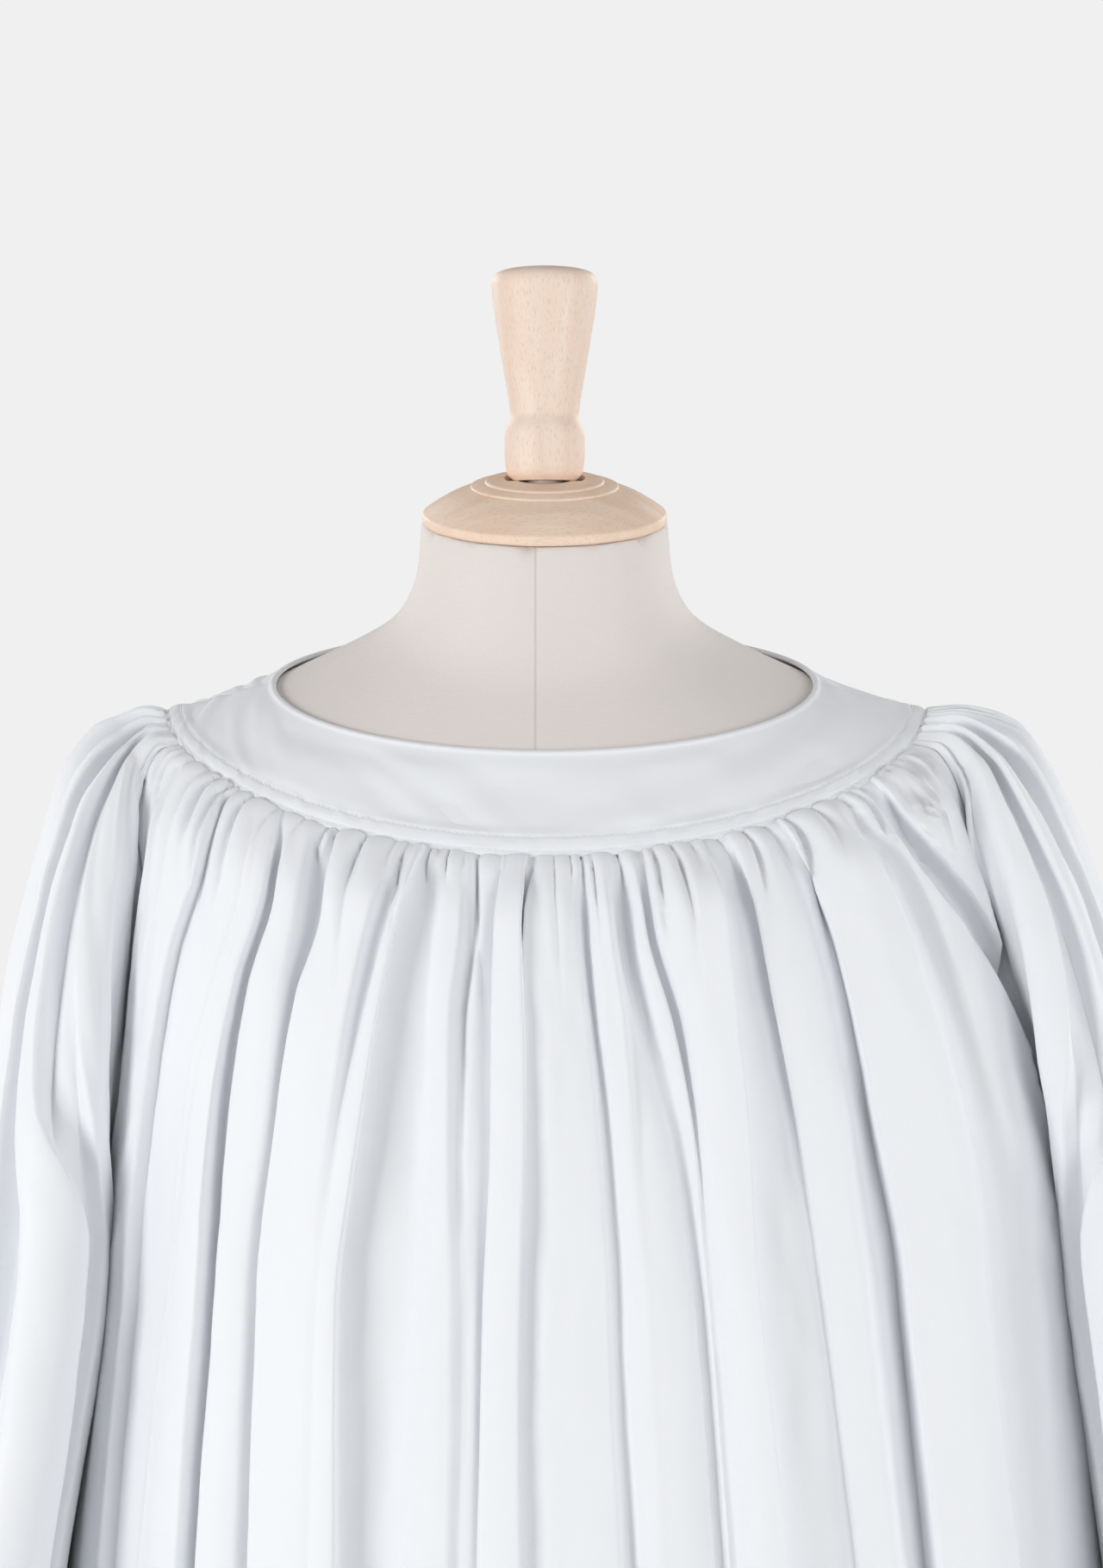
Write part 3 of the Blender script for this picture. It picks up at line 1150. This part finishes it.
class SURPLICE_OT_form(PieceOperator, bpy.types.Operator):
    """Makes the limbless dress form smooth and covers it with linen"""

    bl_idname = "surplice.form"
    bl_label = "Dress form"

    def execute(self, context):
        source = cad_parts["dress_form"]
        piece = bpy.data.objects.new("linen_form", source.data.copy())
        bpy.context.scene.collection.objects.link(piece)
        make_active(piece)
        bpy.ops.object.mode_set(mode="EDIT")
        bpy.ops.mesh.select_all(action="SELECT")
        bpy.ops.mesh.remove_doubles(threshold=0.00001)
        bpy.ops.mesh.tris_convert_to_quads(face_threshold=math.radians(40), shape_threshold=math.radians(60))
        bpy.ops.object.mode_set(mode="OBJECT")
        rings = piece.modifiers.new("Smooth form", "SUBSURF")
        rings.levels = rings.render_levels = 2
        rings.boundary_smooth = "PRESERVE_CORNERS"
        apply_all(piece)
        piece.data.shade_smooth()
        linen = form_linen("form_linen_cover", to_hex(context.scene.surplice_form.linen))
        finish_piece(piece, linen, "form_linen", "dress_form")
        return {"FINISHED"}


class SURPLICE_OT_wood(PieceOperator, bpy.types.Operator):
    """Turns the neck cap and the handle from beech"""

    bl_idname = "surplice.wood"
    bl_label = "Cap and handle"

    def execute(self, context):
        settings = context.scene.surplice_form
        light = to_hex(settings.beech)
        cap = turned("turned_cap", CAP_RUNS, settings.steps)
        foot = DATUM_Z + 0.1335 + GAP / math.cos(NECK_TILT)
        make_active(cap)
        bpy.ops.transform.rotate(value=-NECK_TILT, orient_axis="X", center_override=(0, 0, 0))
        bpy.ops.transform.translate(value=(0, 0, foot))
        bpy.ops.object.transform_apply(location=True, rotation=True, scale=True)
        if cap.data.vertices[0].co.y > 0:
            raise RuntimeError("the cap leans the wrong way")
        cut_round_hole(cap, 0.0207, SEAT_Z)
        cut_round_hole(cap, 0.0158, WELL_Z)
        make_active(cap)
        bpy.ops.object.shade_smooth_by_angle(angle=math.radians(32))
        finish_piece(cap, turned_beech("turned_beech_cap", "#f9e1cd", "#f0d2b8", 0), "beech", "neck_cap")
        handle = turned("turned_handle", HANDLE_RUNS, settings.steps)
        make_active(handle)
        bpy.ops.transform.translate(value=(0, 0, SEAT_Z + GAP))
        bpy.ops.object.transform_apply(location=True, rotation=True, scale=True)
        finish_piece(handle, turned_beech("turned_beech_handle", light, "#f0d6c3", 2), "beech", "handle")
        return {"FINISHED"}


class SURPLICE_OT_stand(PieceOperator, bpy.types.Operator):
    """Builds the enamelled pole and the round foot"""

    bl_idname = "surplice.stand"
    bl_label = "Stand"

    def execute(self, context):
        settings = context.scene.surplice_form
        foot = turned("round_foot", FOOT_RUNS, settings.steps)
        finish_piece(foot, turned_beech("turned_beech_foot", "#f2d9c5", "#e6c8ae", 0), "beech",
                     "stand_foot")
        low, high = 28 + GAP * 1000, (FORM_FOOT_Z - GAP) * 1000
        radius = settings.pole_radius * 1000
        runs = (
            ((0, high), (48, high)), ((48, high), (48, high - 6)),
            ((48, high - 6), (34, high - 8.6), (26, high - 9.6), (24, high - 11)),
            ((24, high - 11), (24, high - 33)), ((24, high - 33), (22.6, high - 36.6), (radius, high - 38)),
            ((radius, high - 38), (radius, low + 34)), ((radius, low + 34), (24.6, low + 32.4), (26, low + 29)),
            ((26, low + 29), (26, low)), ((26, low), (0, low)),
        )
        pole = turned("enamelled_pole", runs, settings.steps)
        finish_piece(pole, black_enamel("black_stove_enamel"), "black_enamel", "stand_pole")
        return {"FINISHED"}


class SURPLICE_OT_stage(PieceOperator, bpy.types.Operator):
    """Sets the pale studio floor, the softboxes and the camera"""

    bl_idname = "surplice.stage"
    bl_label = "Studio"

    def execute(self, context):
        settings = context.scene.surplice_stage
        deselect_all()
        bpy.ops.mesh.primitive_circle_add(vertices=96, radius=FLOOR_RADIUS, fill_type="NGON",
                                          location=(0, 0, -0.0005))
        floor = context.object
        floor.name = "studio_floor"
        bpy.ops.object.transform_apply(location=True, rotation=True, scale=True)
        floor.data.materials.append(studio_paper("studio_paper", to_hex(settings.backdrop)))
        world = bpy.data.worlds.new("studio")
        context.scene.world = world
        world.use_nodes = True
        tree = world.node_tree
        tree.nodes.clear()
        shown = node(tree, "ShaderNodeBackground", Color=linear(to_hex(settings.backdrop)), Strength=1.0)
        light = node(tree, "ShaderNodeBackground", Color=(0.985, 0.99, 1.0, 1.0), Strength=settings.room)
        seen = node(tree, "ShaderNodeLightPath").outputs["Is Camera Ray"]
        mixed = node(tree, "ShaderNodeMixShader", Fac=seen, at1=light.outputs[0], at2=shown.outputs[0])
        node(tree, "ShaderNodeOutputWorld", Surface=mixed.outputs[0])
        for name, place, size, setting, share in SOFTBOXES:
            lamp = bpy.data.lights.new(name, "AREA")
            lamp.shape = "SQUARE"
            lamp.size = size
            lamp.energy = share * getattr(settings, setting)
            box = bpy.data.objects.new(name, lamp)
            box.location = place
            box.visible_camera = False
            box.rotation_euler = (Vector((0, 0, 1.2)) - Vector(place)).to_track_quat("-Z", "Y").to_euler()
            context.scene.collection.objects.link(box)
        camera = bpy.data.cameras.new("camera")
        camera.sensor_fit = "VERTICAL"
        camera.sensor_width = camera.sensor_height = 36.0
        camera.lens = settings.lens
        camera.clip_start, camera.clip_end = 0.1, 100.0
        eye = bpy.data.objects.new("camera", camera)
        eye.location = (0.0035, -settings.distance, settings.height)
        eye.rotation_euler = (math.radians(90), 0, 0)
        context.scene.collection.objects.link(eye)
        context.scene.camera = eye
        context.scene.view_settings.view_transform = "Standard"
        context.scene.view_settings.look = "None"
        return {"FINISHED"}


class SURPLICE_PT_panel(bpy.types.Panel):
    """Lists the pieces and their settings"""

    bl_idname = "SURPLICE_PT_panel"
    bl_label = "Surplice"
    bl_space_type = "VIEW_3D"
    bl_region_type = "UI"
    bl_category = "Surplice"

    def draw(self, context):
        for group, operators in SECTIONS:
            box = self.layout.box()
            settings = getattr(context.scene, group)
            for name in type(settings).__annotations__:
                box.prop(settings, name)
            for operator in operators:
                box.operator(operator.bl_idname)


GROUPS = {"surplice_cloth": ClothSettings, "surplice_form": FormSettings, "surplice_stage": StageSettings}
SECTIONS = (
    ("surplice_cloth", (SURPLICE_OT_body, SURPLICE_OT_sleeves, SURPLICE_OT_yoke)),
    ("surplice_form", (SURPLICE_OT_form, SURPLICE_OT_wood, SURPLICE_OT_stand)),
    ("surplice_stage", (SURPLICE_OT_stage,)),
)
CLASSES = tuple(GROUPS.values()) + tuple(op for _, ops in SECTIONS for op in ops) + (SURPLICE_PT_panel,)


def register():
    """Makes the settings, the operators and the panel known to Blender."""
    for each in CLASSES:
        bpy.utils.register_class(each)
    for name, group in GROUPS.items():
        setattr(bpy.types.Scene, name, bpy.props.PointerProperty(type=group))


def unregister():
    """Takes the settings, the operators and the panel out again."""
    for name in GROUPS:
        delattr(bpy.types.Scene, name)
    for each in reversed(CLASSES):
        bpy.utils.unregister_class(each)


def main():
    """Builds every piece."""
    register()
    bpy.ops.surplice.stage()
    bpy.ops.surplice.form()
    bpy.ops.surplice.wood()
    bpy.ops.surplice.stand()
    bpy.ops.surplice.body()
    bpy.ops.surplice.sleeves()
    bpy.ops.surplice.yoke()


if __name__ == "__main__":
    main()
